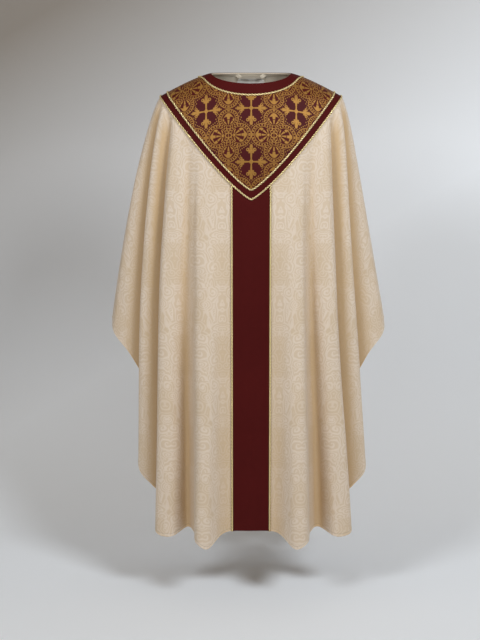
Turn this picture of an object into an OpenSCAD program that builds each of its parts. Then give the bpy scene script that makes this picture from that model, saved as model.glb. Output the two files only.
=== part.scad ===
// Chasuble: a wide sleeveless church vestment, drawn as it hangs from the neck and shoulders.
// The front faces -Y, the wearer's left is +X, and the origin is the middle of the neck opening
// at the height where the shoulder ridge meets it. Millimetres throughout.

/* [Overall] */
// Height from the shoulder ridge at the neck to the hem at centre front
garment_length = 1285; // [1050:5:1600]
// Half of the overall width, from the middle to the lower corner of a side drape
wing_out = 395; // [330:5:480]
// Height from the neck down to the lower corner of a side drape
wing_drop = 700; // [560:5:860]
// How far the drape leans to the wearer's right at the elbows and back again at the hem
lean = 10; // [0:1:20]

/* [Neck and shoulders] */
// Half of the width of the neck opening
neck_half = 113; // [90:1:140]
// How far the front of the neck opening dips below the shoulder ridge
neck_dip = 25; // [12:1:50]
// Half of the width at the shoulder points
shoulder_out = 257; // [214:1:310]
// Height from the neck down to the shoulder points
shoulder_drop = 65; // [45:1:90]
// Depth of the chest in front of the shoulder ridge
chest_depth = 152; // [120:1:190]
// Depth of the back behind the shoulder ridge
back_depth = 150; // [120:1:190]

/* [Yoke and orphrey] */
// Height from the neck down to the point of the V
yoke_drop = 344; // [280:1:420]
// Width of the plain band around the neck
band_w = 38; // [30:1:50]
// Width of the plain border along the V
border_w = 24; // [18:1:32]
// Width of the plain column down the middle of the front and the back
orphrey_w = 108; // [80:1:130]

/* [Folds] */
// How far the deepest fold of the front hem stands in front of the shoulder ridge
front_fold = 246; // [190:1:300]
// How far the deepest fold of the back hem stands behind the shoulder ridge
back_fold = 232; // [180:1:290]

/* [Cloth, braid and tape] */
// Thickness of the damask
damask_t = 1.2; // [0.8:0.1:1.6]
// Thickness of the brocade, the bands and the orphreys
trim_t = 0.8; // [0.5:0.1:1.2]
// Thickness of interfacing, facing and tape
backing_t = 0.5; // [0.3:0.1:0.8]
// Width of the gold braid
braid_w = 5; // [4:0.5:7]
// Thickness of the gold braid
braid_t = 1.4; // [0.8:0.1:2]
// Width of the turned hem
hem_w = 8; // [6:1:14]
// Width of the tape around the inside of the neck
tape_w = 10; // [8:1:12]
// How far the hanging loop stands off the neck tape
loop_rise = 9; // [6:1:14]
// Room left between two layers of cloth
ply_gap = 0.25; // [0.2:0.05:0.5]

/* [Hidden] */

front = -1;
back = 1;
left = 1;
right = -1;

// Colours
ivory = [0.87, 0.82, 0.73];
lining = [0.80, 0.76, 0.68];
maroon = [0.30, 0.07, 0.08];
brocade = [0.58, 0.40, 0.18];
gold = [0.85, 0.70, 0.30];

// The body the cloth rests on. Its level sections are ellipses.
// Bend of the shoulder ridge, and of the outline below the shoulder points
ridge_bend = 0.8;
outline_bend = 0.75;
// Height of the fullest part of the chest and back, and the rise of their curve above it
chest_z = -300;
front_rise = 333;
back_rise = 345;
// Cut of the neck opening, of the lower edge of the neck band, and of the V
neck_round = 3;
band_round = 4;
v_bow = 1.22;
// How much of a width along the cloth shows as height at the centre, and as width at the ridge
slope_at_neck = 0.87;
run_at_ridge = 0.95;
mitre_at_point = 1.38;

// Half width and half depth of the body at height z
function half_width(z) = z > 0 ? neck_half : z > -shoulder_drop
    ? neck_half + (shoulder_out - neck_half) * pow(-z / shoulder_drop, ridge_bend)
    : shoulder_out + (wing_out - shoulder_out)
        * pow((-shoulder_drop - z) / (wing_drop - shoulder_drop), outline_bend);
function arch(z, rise) = sqrt(1 - pow(min(1, max(0, (z - chest_z) / rise)), 2));
function half_depth(face, z) = face == front
    ? chest_depth * arch(z, front_rise) : back_depth * arch(z, back_rise);
function ridge_z(x) =
    -shoulder_drop * pow((x - neck_half) / (shoulder_out - neck_half), 1 / ridge_bend);

// Lines around the yoke: 0 neck edge, 1 band edge, 2 inner edge of the V, 3 outer edge of the V.
// Each gives the angle around the body and the height, at share g of the way from centre to ridge.
function neck_line(face, g) =
    [asin(g), (face == front ? -neck_dip : 0) * pow(cos(asin(g)), neck_round)];
function band_line(face, g) = let (
    at_ridge = ridge_z(neck_half + run_at_ridge * band_w),
    at_centre = neck_line(face, 0)[1] - slope_at_neck * band_w)
    [asin(g), at_ridge + (at_centre - at_ridge) * pow(cos(asin(g)), band_round)];
function v_line(x_ridge, z_centre, g) = let (
    z_ridge = ridge_z(x_ridge),
    z = z_centre + (z_ridge - z_centre) * pow(g, v_bow))
    [asin(min(1, x_ridge * g / half_width(z))), z];
function yoke_line(face, k, g) = k == 0 ? neck_line(face, g) : k == 1 ? band_line(face, g)
    : k == 2 ? v_line(shoulder_out - border_w, -yoke_drop + mitre_at_point * border_w, g)
    : v_line(shoulder_out, -yoke_drop, g);
function yoke_point(face, w, g) = let (
    k = min(2, floor(w)),
    a = yoke_line(face, k, g),
    b = yoke_line(face, k + 1, g),
    m = a + (b - a) * (w - k))
    [half_width(m[1]) * sin(m[0]), g >= 1 ? 0 : face * half_depth(face, m[1]) * cos(m[0]), m[1]];

// Folds from the middle of a panel out to its side seam. Each row gives the share of the V's
// edge where the fold starts, then its place at the hem as shares of wing_out, of the fold depth
// and of the height between the hem and the side drape's corner, then how it spreads and falls.
orphrey_half = orphrey_w / 2;
FOLDS = [
    [0.00, 0.00, 0.77, 0.00, 1.0, 0.9],
    [orphrey_half / shoulder_out, orphrey_half / wing_out, 0.78, 0.00, 1.0, 0.9],
    // first fold beside the orphrey, and the hollow behind it
    [0.33, 0.213, 0.845, -0.012, 0.9, 0.9],
    [0.45, 0.314, 1.00, -0.063, 0.9, 1.0],
    [0.545, 0.400, 0.96, -0.036, 0.8, 1.0],
    [0.60, 0.425, 0.70, -0.015, 0.7, 0.9],
    [0.655, 0.481, 0.52, -0.012, 0.7, 0.6],
    // edge of the front fall, turning under
    [0.73, 0.597, 0.69, -0.040, 0.7, 0.7],
    [0.80, 0.706, 0.65, -0.026, 0.7, 0.6],
    [0.84, 0.686, 0.50, 0.026, 0.6, 0.6],
    [0.88, 0.572, 0.40, 0.077, 0.6, 0.6],
    // middle fold, turning under
    [0.91, 0.735, 0.44, 0.190, 0.5, 0.6],
    [0.93, 0.835, 0.375, 0.275, 0.5, 0.6],
    [0.95, 0.790, 0.25, 0.42, 0.5, 0.6],
    [0.965, 0.690, 0.195, 0.573, 0.5, 0.6],
    // side drape out to the seam
    [0.98, 0.850, 0.21, 0.81, 0.6, 0.6],
    [0.992, 0.982, 0.12, 0.928, 0.7, 0.6],
    [1.00, 1.00, 0.00, 1.00, 0.75, 0.6]];
last_fold = len(FOLDS) - 1;

// A smooth curve through the folds, at place u counted in folds
function fold_row(i) = i < 0 ? 2 * FOLDS[0] - FOLDS[1]
    : i > last_fold ? 2 * FOLDS[last_fold] - FOLDS[last_fold - 1] : FOLDS[i];
function fold_at(u) = let (
    i = min(last_fold - 1, floor(u)),
    t = u - i,
    a = fold_row(i - 1),
    b = fold_row(i),
    c = fold_row(i + 1),
    d = fold_row(i + 2))
    0.5 * (2 * b + (c - a) * t + (2 * a - 5 * b + 4 * c - d) * t * t
        + (3 * b - a - 3 * c + d) * t * t * t);
function share_at(u) = min(1, max(0, fold_at(u)[0]));

// The cloth below the V, at fold place u and share t of the way down from the V to the hem.
// It leans sideways by a cosine of the height, which fades out at the V and at the orphrey.
lean_z = -450;
lean_turn = 144 / 850;
function sway(u, t, z) = let (
    out = min(1, max(0, (u - 2) / 5)),
    below_v = 1 - pow(1 - t, 6))
    -lean * out * below_v * cos(lean_turn * (lean_z - z));
function fall_point(face, side, u, t) = let (
    f = fold_at(u),
    start = yoke_point(face, 3, share_at(u)),
    depth = face * (face == front ? front_fold : back_fold),
    end = [f[1] * wing_out, f[2] * depth, -garment_length + f[3] * (garment_length - wing_drop)],
    x = start[0] + (end[0] - start[0]) * pow(t, f[4]),
    y = start[1] + (end[1] - start[1]) * pow(t, f[5]),
    z = start[2] + (end[2] - start[2]) * t)
    [side * x + sway(u, t, z), u >= last_fold ? 0 : y, z];

// Columns of the cloth mesh, from the centre to the seam. The second and third are the two
// edges of the orphrey's braid.
braid_step = braid_w / (FOLDS[2][1] * wing_out);
COLUMNS = [0, 1 - braid_step, 1 + braid_step, 2, 3, 3.5, 4, 5, 6, 7, 7.5, 8, 8.5, 9, 10, 11, 12,
    13, 14, 15, 15.5, 16, 16.5, 17];
orphrey_col = 2;
seam_col = len(COLUMNS) - 1;
// Rows of the yoke and rows below it
YOKE_ROWS = [0, tape_w / band_w, 1 - braid_w / band_w, 1, 1.5, 2, 2 + braid_w / border_w,
    3 - braid_w / border_w, 3];
FALL_ROWS = [0.04, 0.1, 0.18, 0.28, 0.38, 0.48, 0.58, 0.68, 0.78, 0.89,
    1 - hem_w / (garment_length - yoke_drop), 1];
tape_row = 1;
braid_row = 2;
band_row = 3;
v_in_row = 5;
v_in_braid_row = 6;
v_out_braid_row = 7;
v_row = 8;
hem_row = v_row + len(FALL_ROWS) - 1;
end_row = v_row + len(FALL_ROWS);

function mesh(face, side) = [
    for (w = YOKE_ROWS) [for (u = COLUMNS) let (p = yoke_point(face, w, share_at(u)))
        [side * p[0], p[1], p[2]]],
    for (t = FALL_ROWS) [for (u = COLUMNS) fall_point(face, side, u, t)]];
// Outward normals. The cloth crosses the centre level with X, and the seam level with Y.
function normals(face, side, m) = [for (r = [0:end_row]) [for (c = [0:seam_col]) let (
    down = m[min(end_row, r + 1)][c] - m[max(0, r - 1)][c],
    across = c == 0 ? [side, 0, 0] : c == seam_col ? [0, -face, 0] : m[r][c + 1] - m[r][c - 1],
    n = -face * side * cross(down, across))
    n / norm(n)]];

mesh_fl = mesh(front, left);
mesh_fr = mesh(front, right);
mesh_bl = mesh(back, left);
mesh_br = mesh(back, right);
normals_fl = normals(front, left, mesh_fl);
normals_fr = normals(front, right, mesh_fr);
normals_bl = normals(back, left, mesh_bl);
normals_br = normals(back, right, mesh_br);

// Point of the cloth surface at row r and signed column c, moved out along its normal by h.
// Columns count up from the wearer's right to the left, with 0 at the centre.
function cloth(face, r, c, h) = let (i = abs(c)) face == front
    ? (c < 0 ? mesh_fr[r][i] + h * normals_fr[r][i] : mesh_fl[r][i] + h * normals_fl[r][i])
    : (c < 0 ? mesh_br[r][i] + h * normals_br[r][i] : mesh_bl[r][i] + h * normals_bl[r][i]);

// Layers, as distances out from the face of the damask
backing_z = ply_gap;
trim_z = backing_z + backing_t + ply_gap;
braid_z = trim_z + trim_t + ply_gap;
facing_z = -damask_t - ply_gap;
tape_z = facing_z - backing_t - ply_gap;
loop_z = tape_z - backing_t;

// Two triangles of a square of the mesh, the other way round when flipped
function square_faces(a, b, c, d, flip) = flip ? [[a, b, c], [a, c, d]] : [[c, b, a], [d, c, a]];

// A closed sheet from inner to outer height over a grid of places. Each place is [face, row,
// column, inner height, outer height]. A ring joins its last column to its first. The squares
// of the columns in crossed are split along their other diagonal.
module sheet(grid, flip, ring = false, crossed = []) {
    rows = len(grid);
    cols = len(grid[0]);
    n = rows * cols;
    last_col = ring ? cols - 1 : cols - 2;
    inner = [for (line = grid) for (q = line) cloth(q[0], q[1], q[2], q[3])];
    outer = [for (line = grid) for (q = line) cloth(q[0], q[1], q[2], q[4])];
    skins = [for (r = [0:rows - 2]) for (c = [0:last_col]) let (
        a = r * cols + c,
        b = r * cols + (c + 1) % cols,
        q = len(search(c, crossed)) > 0 ? [b, b + cols, a + cols, a] : [a, b, b + cols, a + cols])
        each concat(square_faces(n + q[0], n + q[1], n + q[2], n + q[3], flip),
            square_faces(q[0], q[1], q[2], q[3], !flip))];
    edges = [for (c = [0:last_col]) let (
        a = c,
        b = (c + 1) % cols,
        low = (rows - 1) * cols)
        each concat(square_faces(a, b, n + b, n + a, flip),
            square_faces(low + a, low + b, n + low + b, n + low + a, !flip))];
    ends = ring ? [] : [for (r = [0:rows - 2]) let (
        a = r * cols,
        b = a + cols - 1)
        each concat(square_faces(a, a + cols, n + a + cols, n + a, !flip),
            square_faces(b, b + cols, n + b + cols, n + b, flip))];
    polyhedron(points = concat(inner, outer), faces = concat(skins, edges, ends), convexity = 10);
}

// A sheet over rows r0 to r1 and signed columns c0 to c1 of the front or the back
module layer(face, r0, r1, c0, c1, low, high) {
    sheet([for (r = [r0:r1]) [for (c = [c0:c1]) [face, r, c, low, high]]], face == back);
}

// Signed columns of a half that starts at column a and ends at column b, counted from the centre
module half_layer(face, side, r0, r1, a, b, low, high) {
    layer(face, r0, r1, side == left ? a : -b, side == left ? b : -a, low, high);
}

// Half of the front or the back, in damask, with its hem turned up inside
module panel(face, side) {
    turned = 2 * damask_t;
    c0 = side == left ? 0 : -seam_col;
    color(ivory) sheet([for (r = [0:end_row]) [for (c = [c0:c0 + seam_col])
        [face, r, c, r < hem_row ? -damask_t : -turned, 0]]], face == back);
}

// Tape along the inside of the seam that joins front to back, from the neck band to the corner.
// Where it runs against the order of a panel's columns, its squares are split the panel's way.
module side_seam_tape(side) {
    inner = facing_z - backing_t;
    path = [[front, seam_col - 1], [front, seam_col], [back, seam_col - 1]];
    against = side == left ? [1] : [0];
    color(lining) sheet([for (r = [band_row:hem_row - 1]) [for (p = path)
        [p[0], r, side * p[1], inner, facing_z]]], side == right, crossed = against);
}

module yoke_interfacing(face) {
    color(lining) layer(face, 0, v_row, -seam_col, seam_col, backing_z, backing_z + backing_t);
}

module yoke_brocade(face) {
    color(brocade) layer(face, band_row, v_in_row, -seam_col, seam_col, trim_z, trim_z + trim_t);
}

module neck_band(face) {
    color(maroon) layer(face, 0, band_row, -seam_col, seam_col, trim_z, trim_z + trim_t);
}

module neck_facing(face) {
    color(lining) layer(face, 0, band_row, -seam_col, seam_col, facing_z - backing_t, facing_z);
}

// One tape around the whole neck opening
module neck_tape() {
    around = concat([for (c = [-seam_col:seam_col]) [front, c]],
        [for (c = [seam_col - 1:-1:1 - seam_col]) [back, c]]);
    color(lining) sheet([for (r = [0:tape_row]) [for (p = around)
        [p[0], r, p[1], tape_z - backing_t, tape_z]]], false, true);
}

module v_border(face, side) {
    color(maroon) half_layer(face, side, v_in_row, v_row, 0, seam_col, trim_z, trim_z + trim_t);
}

module braid_line(face, r0, r1) {
    color(gold) layer(face, r0, r1, -seam_col, seam_col, braid_z, braid_z + braid_t);
}

module orphrey_interfacing(face) {
    color(lining) layer(face, v_row, hem_row, -orphrey_col, orphrey_col,
        backing_z, backing_z + backing_t);
}

module orphrey(face) {
    color(maroon) layer(face, v_row, end_row, -orphrey_col, orphrey_col, trim_z, trim_z + trim_t);
}

module orphrey_braid(face, side) {
    color(gold) half_layer(face, side, v_row, end_row, orphrey_col - 1, orphrey_col,
        braid_z, braid_z + braid_t);
}

// A bridge of tape inside the back of the neck, sewn down at both ends
module hanging_loop() {
    ends = orphrey_col + 1;
    color(lining) sheet([for (r = [0:tape_row]) [for (c = [-ends:ends]) let (
        low = abs(c) == ends ? loop_z : loop_z - loop_rise)
        [back, r, c, low - backing_t, low]]], true);
}

module blank_label() {
    color("white") layer(back, tape_row, braid_row, -orphrey_col, orphrey_col,
        tape_z - backing_t, tape_z);
}

panel(front, left);  // front_panel_left
panel(front, right);  // front_panel_right
panel(back, left);  // back_panel_left
panel(back, right);  // back_panel_right
side_seam_tape(left);  // side_seam_tape_left
side_seam_tape(right);  // side_seam_tape_right
yoke_interfacing(front);  // yoke_interfacing_front
yoke_interfacing(back);  // yoke_interfacing_back
yoke_brocade(front);  // yoke_brocade_front
yoke_brocade(back);  // yoke_brocade_back
neck_band(front);  // neck_band_front
neck_band(back);  // neck_band_back
neck_facing(front);  // neck_facing_front
neck_facing(back);  // neck_facing_back
neck_tape();
v_border(front, left);  // v_border_front_left
v_border(front, right);  // v_border_front_right
v_border(back, left);  // v_border_back_left
v_border(back, right);  // v_border_back_right
braid_line(front, braid_row, band_row);  // neck_braid_front
braid_line(back, braid_row, band_row);  // neck_braid_back
braid_line(front, v_in_row, v_in_braid_row);  // v_inner_braid_front
braid_line(back, v_in_row, v_in_braid_row);  // v_inner_braid_back
braid_line(front, v_out_braid_row, v_row);  // v_outer_braid_front
braid_line(back, v_out_braid_row, v_row);  // v_outer_braid_back
orphrey_interfacing(front);  // orphrey_interfacing_front
orphrey_interfacing(back);  // orphrey_interfacing_back
orphrey(front);  // orphrey_front
orphrey(back);  // orphrey_back
orphrey_braid(front, left);  // orphrey_braid_front_left
orphrey_braid(front, right);  // orphrey_braid_front_right
orphrey_braid(back, left);  // orphrey_braid_back_left
orphrey_braid(back, right);  // orphrey_braid_back_right
hanging_loop();
blank_label();
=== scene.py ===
import math

import bpy
import numpy as np
from bpy.props import FloatProperty, FloatVectorProperty, PointerProperty
from bpy.types import Operator, Panel, PropertyGroup
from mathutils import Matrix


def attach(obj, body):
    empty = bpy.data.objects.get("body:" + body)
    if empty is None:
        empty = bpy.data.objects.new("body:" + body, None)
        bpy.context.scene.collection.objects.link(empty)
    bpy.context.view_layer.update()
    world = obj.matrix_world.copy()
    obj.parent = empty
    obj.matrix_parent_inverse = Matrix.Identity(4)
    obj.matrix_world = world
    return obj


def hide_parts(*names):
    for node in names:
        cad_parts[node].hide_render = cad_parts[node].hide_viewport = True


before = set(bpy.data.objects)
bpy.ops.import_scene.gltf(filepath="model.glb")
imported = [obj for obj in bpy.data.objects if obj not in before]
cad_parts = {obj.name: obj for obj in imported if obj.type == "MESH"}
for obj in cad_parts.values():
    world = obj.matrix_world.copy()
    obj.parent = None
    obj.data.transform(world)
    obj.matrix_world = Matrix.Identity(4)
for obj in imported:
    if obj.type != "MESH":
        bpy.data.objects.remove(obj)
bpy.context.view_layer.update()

bl_info = {
    "name": "Chasuble builder",
    "version": (1, 0, 0),
    "blender": (4, 5, 0),
    "location": "View3D > Sidebar > Chasuble",
    "description": "Sews a lined chasuble of ivory damask with a brocade yoke and a satin orphrey",
    "category": "Object",
}

BODY = "root"
MM = 0.001
FRONT, BACK = -1, 1
LEFT, RIGHT = 1, -1
FACE_NAME = {FRONT: "front", BACK: "back"}
SIDE_NAME = {LEFT: "left", RIGHT: "right"}

# ---- The cut of the garment, in millimetres, as the CAD part has it ----
GARMENT_LENGTH = 1285.0
WING_OUT = 395.0
WING_DROP = 700.0
LEAN = 10.0
NECK_HALF = 113.0
NECK_DIP = 25.0
SHOULDER_OUT = 257.0
SHOULDER_DROP = 65.0
CHEST_DEPTH = 152.0
BACK_DEPTH = 150.0
YOKE_DROP = 344.0
BAND_W = 38.0
BORDER_W = 24.0
ORPHREY_W = 108.0
FRONT_FOLD = 246.0
BACK_FOLD = 232.0
DAMASK_T = 1.2
TRIM_T = 0.8
BACKING_T = 0.5
BRAID_W = 5.0
HEM_W = 8.0
TAPE_W = 10.0
LOOP_RISE = 9.0
PLY_GAP = 0.25
CHEST_Z = -300.0
FRONT_RISE, BACK_RISE = 333.0, 345.0
LEAN_Z = -450.0
LEAN_TURN = math.radians(144.0 / 850.0)

# Heights of the layers out from the face of the damask
BACKING_Z = PLY_GAP
TRIM_Z = BACKING_Z + BACKING_T + PLY_GAP
BRAID_Z = TRIM_Z + TRIM_T + PLY_GAP
FACING_Z = -DAMASK_T - PLY_GAP
TAPE_Z = FACING_Z - BACKING_T - PLY_GAP
LOOP_Z = TAPE_Z - BACKING_T

# Rows of the cloth: 0 neck edge, 1 edge of the band, 2 inner edge of the V, 3 outer edge of the
# V, 4 hem. Columns are counted in folds from the middle of a panel, 0, to its side seam, 17.
V_ROW, HEM_ROW = 3.0, 4.0
SEAM = 17.0
ORPHREY_COL = 1.0
FOLDS = np.array([
    [0.0, 0.0, 0.77, 0.0, 1.0, 0.9],
    [ORPHREY_W / 2 / SHOULDER_OUT, ORPHREY_W / 2 / WING_OUT, 0.78, 0.0, 1.0, 0.9],
    [0.33, 0.213, 0.845, -0.012, 0.9, 0.9],
    [0.45, 0.314, 1.0, -0.063, 0.9, 1.0],
    [0.545, 0.4, 0.96, -0.036, 0.8, 1.0],
    [0.6, 0.425, 0.7, -0.015, 0.7, 0.9],
    [0.655, 0.481, 0.52, -0.012, 0.7, 0.6],
    [0.73, 0.597, 0.69, -0.04, 0.7, 0.7],
    [0.8, 0.706, 0.65, -0.026, 0.7, 0.6],
    [0.84, 0.686, 0.5, 0.026, 0.6, 0.6],
    [0.88, 0.572, 0.4, 0.077, 0.6, 0.6],
    [0.91, 0.735, 0.44, 0.19, 0.5, 0.6],
    [0.93, 0.835, 0.375, 0.275, 0.5, 0.6],
    [0.95, 0.79, 0.25, 0.42, 0.5, 0.6],
    [0.965, 0.69, 0.195, 0.573, 0.5, 0.6],
    [0.98, 0.85, 0.21, 0.81, 0.6, 0.6],
    [0.992, 0.982, 0.12, 0.928, 0.7, 0.6],
    [1.0, 1.0, 0.0, 1.0, 0.75, 0.6],
])
FOLD_ROWS = np.vstack([2 * FOLDS[0] - FOLDS[1], FOLDS, 2 * FOLDS[-1] - FOLDS[-2]])


def half_width(z):
    """Half width of the body at height z: a power of the drop down to the shoulder points, and
    another power of it from there down to the corners."""
    above = NECK_HALF + (SHOULDER_OUT - NECK_HALF) * np.clip(-z / SHOULDER_DROP, 0, 1) ** 0.8
    below = SHOULDER_OUT + (WING_OUT - SHOULDER_OUT) * np.clip(
        (-SHOULDER_DROP - z) / (WING_DROP - SHOULDER_DROP), 0, None) ** 0.75
    return np.where(z > -SHOULDER_DROP, above, below)


def half_depth(face, z):
    """Half depth of the body at height z: a quarter ellipse above the chest, level below it."""
    rise = np.where(face == FRONT, FRONT_RISE, BACK_RISE)
    share = np.clip((z - CHEST_Z) / rise, 0, 1)
    return np.where(face == FRONT, CHEST_DEPTH, BACK_DEPTH) * np.sqrt(1 - share * share)


def ridge_height(x):
    """Height of the shoulder ridge at half width x, a power curve down from the neck."""
    return -SHOULDER_DROP * ((x - NECK_HALF) / (SHOULDER_OUT - NECK_HALF)) ** 1.25


def yoke_line(face, k, g):
    """Angle round the body and height of line k of the yoke, at share g of the way from the
    centre to the ridge. The neck lines are powers of a cosine and the V lines powers of g."""
    turn = np.arcsin(g)
    neck = np.where(face == FRONT, -NECK_DIP, 0.0)
    if k == 0:
        return turn, neck * np.cos(turn) ** 3
    if k == 1:
        ridge = ridge_height(NECK_HALF + 0.95 * BAND_W)
        return turn, ridge + (neck - 0.87 * BAND_W - ridge) * np.cos(turn) ** 4
    x_ridge = SHOULDER_OUT - (BORDER_W if k == 2 else 0.0)
    z_centre = -YOKE_DROP + (1.38 * BORDER_W if k == 2 else 0.0)
    z = z_centre + (ridge_height(x_ridge) - z_centre) * g ** 1.22
    return np.arcsin(np.clip(x_ridge * g / half_width(z), 0, 1)), z


def on_body(face, turn, z, at_seam):
    """Point of the body's ellipse at height z, turned out from the centre by an angle."""
    y = np.where(at_seam, 0.0, face * half_depth(face, z) * np.cos(turn))
    return np.stack([half_width(z) * np.sin(turn), y, z], -1)


def yoke_point(face, w, g):
    """Point of the yoke, by running straight in angle and height from one line to the next."""
    out = np.zeros(np.broadcast(face, w, g).shape + (3,))
    for k in range(3):
        t0, z0 = yoke_line(face, k, g)
        t1, z1 = yoke_line(face, k + 1, g)
        m = np.clip(w - k, 0, 1)
        here = (w >= k) & ((w < k + 1) | (k == 2))
        point = on_body(face, t0 + (t1 - t0) * m, z0 + (z1 - z0) * m, g >= 1)
        out = np.where(here[..., None], point, out)
    return out


def fold_at(u):
    """A Catmull-Rom curve through the rows of the fold table, at fold place u."""
    i = np.clip(np.floor(u).astype(int), 0, len(FOLDS) - 2)
    t = (u - i)[..., None]
    a, b, c, d = FOLD_ROWS[i], FOLD_ROWS[i + 1], FOLD_ROWS[i + 2], FOLD_ROWS[i + 3]
    return 0.5 * (2 * b + (c - a) * t + (2 * a - 5 * b + 4 * c - d) * t * t
                  + (3 * b - a - 3 * c + d) * t * t * t)


def smooth_body(face, side, u, r):
    """The cloth's face in millimetres, before its fine creases. Down to the V it lies on the
    body. Below it each fold runs from the V to its place at the hem, by powers of the share of
    the way down. Places past the seam or the centre go round to the next panel."""
    face, side, u, r = np.broadcast_arrays(
        np.asarray(face, float), np.asarray(side, float), np.asarray(u, float),
        np.asarray(r, float))
    side = np.where(u < 0, -side, side)
    u = np.abs(u)
    face = np.where(u > SEAM, -face, face)
    u = np.where(u > SEAM, 2 * SEAM - u, u)
    f = fold_at(u)
    g = np.clip(f[..., 0], 0, 1)
    start = yoke_point(face, np.clip(r, 0, V_ROW), g)
    t = np.clip(r - V_ROW, 0, 1)
    depth = face * np.where(face == FRONT, FRONT_FOLD, BACK_FOLD)
    end_x, end_y = f[..., 1] * WING_OUT, f[..., 2] * depth
    end_z = -GARMENT_LENGTH + f[..., 3] * (GARMENT_LENGTH - WING_DROP)
    x = start[..., 0] + (end_x - start[..., 0]) * t ** f[..., 4]
    y = start[..., 1] + (end_y - start[..., 1]) * t ** f[..., 5]
    z = start[..., 2] + (end_z - start[..., 2]) * t
    out = np.clip((u - 2) / 5, 0, 1)
    lean = -LEAN * out * (1 - (1 - t) ** 6) * np.cos(LEAN_TURN * (LEAN_Z - z))
    return np.stack([side * x + np.where(r > V_ROW, lean, 0.0), np.where(u >= SEAM, 0.0, y), z], -1)


def unit(v):
    return v / np.maximum(np.linalg.norm(v, axis=-1, keepdims=True), 1e-12)


def body_normal(face, side, u, r, du=0.04, dr=0.012):
    """Outward normal of the smooth cloth, from the differences across and down."""
    r = np.asarray(r, float)
    across = smooth_body(face, side, u + du, r) - smooth_body(face, side, u - du, r)
    down = (smooth_body(face, side, u, np.clip(r + dr, 0, HEM_ROW))
            - smooth_body(face, side, u, np.clip(r - dr, 0, HEM_ROW)))
    turn = -np.asarray(face, float) * np.asarray(side, float)
    return unit(np.cross(down, across) * np.expand_dims(np.broadcast_to(
        turn, np.broadcast(face, side, u, r).shape), -1))


class Creases:
    """Soft creases: random heights on a lattice, joined by cubic steps, in several sizes."""

    def __init__(self, seed):
        self.table = np.random.default_rng(seed).uniform(-1, 1, (64, 64))

    def at(self, a, b):
        i, j = np.floor(a).astype(int), np.floor(b).astype(int)
        p, q = a - i, b - j
        p, q = p * p * (3 - 2 * p), q * q * (3 - 2 * q)
        t = self.table
        top = t[i % 64, j % 64] * (1 - p) + t[(i + 1) % 64, j % 64] * p
        low = t[i % 64, (j + 1) % 64] * (1 - p) + t[(i + 1) % 64, (j + 1) % 64] * p
        return top * (1 - q) + low * q


CREASES = {FRONT: Creases(11), BACK: Creases(23)}


def crease_height(face, side, u, r, depth):
    """Height of the fine creases. They are long down the cloth and narrow across it, grow with
    the drop below the V, and die out at the side seam and on the stiff orphrey."""
    face = int(face)
    t = np.clip(r - V_ROW, 0, 1)
    a = side * u
    noise = CREASES[face]
    wave = (noise.at(a * 0.55 + 7.3, t * 3.1 + 2.0) * 0.9
            + noise.at(a * 1.15 + 31.7, t * 5.3 + 11.0) * 0.6
            + noise.at(a * 2.3 + 3.1, t * 8.7 + 23.0) * 0.28)
    grow = np.clip(t / 0.25, 0, 1) ** 1.2
    seam = np.clip((SEAM - u) / 1.2, 0, 1)
    stiff = 0.35 + 0.65 * np.clip((u - 1.0) / 0.8, 0, 1)
    return depth * wave * grow * seam * seam * (3 - 2 * seam) * stiff


def cloth(face, side, u, r, h=0.0):
    """Point of the cloth in metres, moved out along its normal by h millimetres and by the
    height of its creases."""
    u, r = np.broadcast_arrays(np.asarray(u, float), np.asarray(r, float))
    lift = crease_height(face, side, u, r, settings().crease_depth / MM) + h
    return MM * (smooth_body(face, side, u, r)
                 + body_normal(face, side, u, r) * np.expand_dims(lift, -1))


def signed_cloth(face, v, r, h=0.0):
    """The same, at signed columns v that count up from the wearer's right to the left."""
    v, r, h = np.broadcast_arrays(np.asarray(v, float), np.asarray(r, float), h)
    both = [cloth(face, s, np.abs(v), r, h) for s in (LEFT, RIGHT)]
    return np.where((v >= 0)[..., None], both[0], both[1])


def even_steps(points, params, count):
    """Parameters that cut the path through the points into steps of the same length."""
    run = np.concatenate([[0], np.cumsum(np.linalg.norm(np.diff(points, axis=0), axis=1))])
    return np.interp(np.linspace(0, run[-1], count), run, params), run[-1]


def even_columns(u0, u1, count, r=HEM_ROW):
    """Columns evenly apart along row r, between two fold places of the front."""
    u = np.linspace(u0, u1, 2000)
    return even_steps(MM * smooth_body(FRONT, LEFT, u, r), u, count)[0]


def signed_columns(limit, count):
    """Signed columns evenly apart along the V, out to a limit on both sides."""
    half = even_columns(0, limit, count, V_ROW)
    return np.concatenate([-half[:0:-1], half])


# ---- Meshes ----
def make_piece(name, verts, faces, corner_uv, nodes, material):
    """A smooth mesh of these faces, with its UV map in metres, that rides on the one body and
    stands for the CAD nodes."""
    mesh = bpy.data.meshes.new(name)
    mesh.from_pydata(np.asarray(verts).tolist(), [], faces)
    uv = mesh.uv_layers.new(name="flat")
    uv.data.foreach_set("uv", np.asarray(corner_uv, np.float32).ravel())
    mesh.polygons.foreach_set("use_smooth", np.ones(len(mesh.polygons), bool))
    mesh.set_sharp_from_angle(angle=math.radians(48))
    mesh.materials.append(material)
    piece = bpy.data.objects.new(name, mesh)
    bpy.context.scene.collection.objects.link(piece)
    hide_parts(*nodes)
    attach(piece, BODY)
    return piece


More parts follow.
